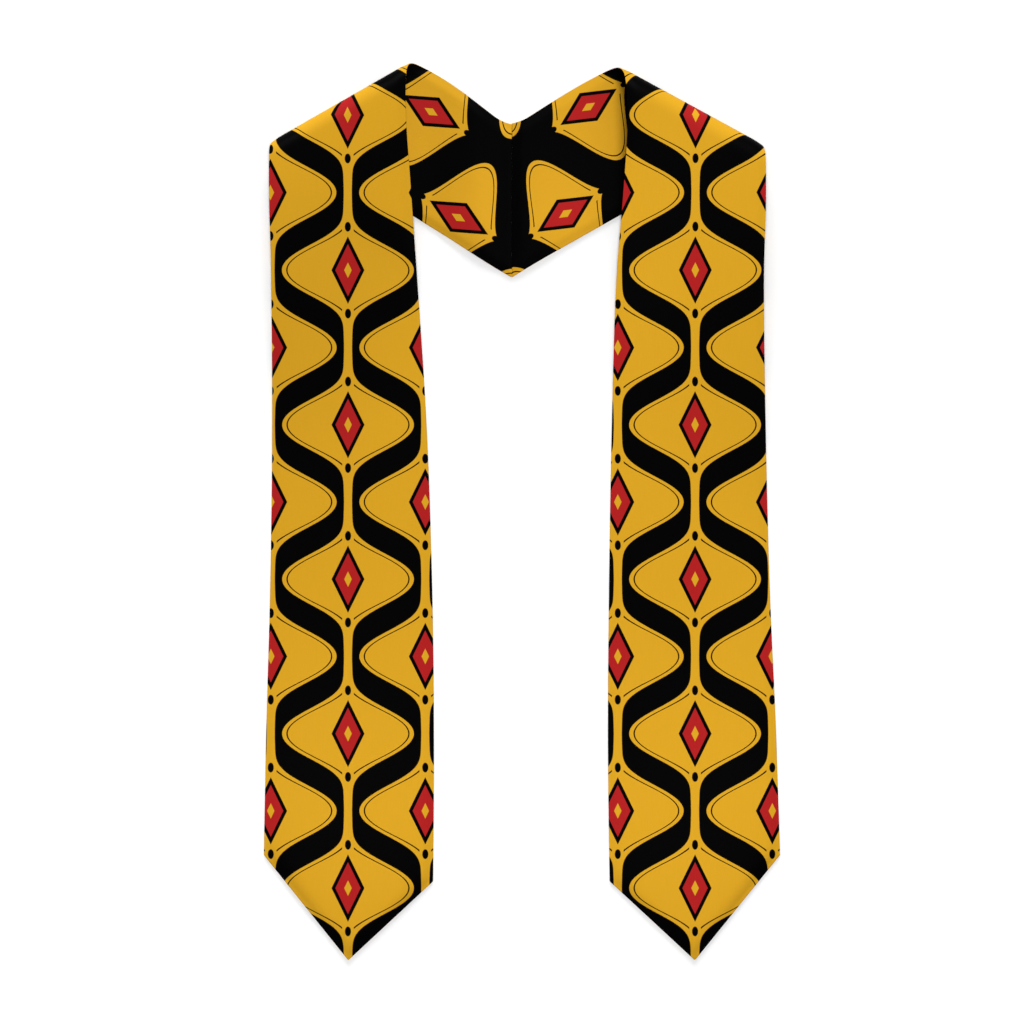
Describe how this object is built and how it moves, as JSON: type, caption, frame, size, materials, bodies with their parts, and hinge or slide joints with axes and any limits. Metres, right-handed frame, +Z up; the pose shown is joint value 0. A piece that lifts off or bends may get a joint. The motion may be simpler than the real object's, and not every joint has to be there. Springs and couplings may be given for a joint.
{
  "type": "graduation stole",
  "caption": "Lined satin graduation stole laid flat, with pointed front panels, soft shoulder folds and a V shaped back with a centre seam.",
  "frame": {"origin": "on the floor under the stole, at the middle of its width and length", "axes": "+Z up from the floor, +Y from the pointed ends towards the shoulders, +X towards the right front panel as seen from above"},
  "size_m": [0.4414, 0.7674, 0.0233],
  "materials": {
    "printed_satin": "polyester satin printed in golden yellow, black and red, soft sheen",
    "printed_lining": "the same printed polyester satin on the inner side, soft sheen"
  },
  "bodies": {
    "root": {"left_outer_layer": "printed_satin", "left_lining": "printed_lining", "right_outer_layer": "printed_satin", "right_lining": "printed_lining"}
  },
  "joints": []
}
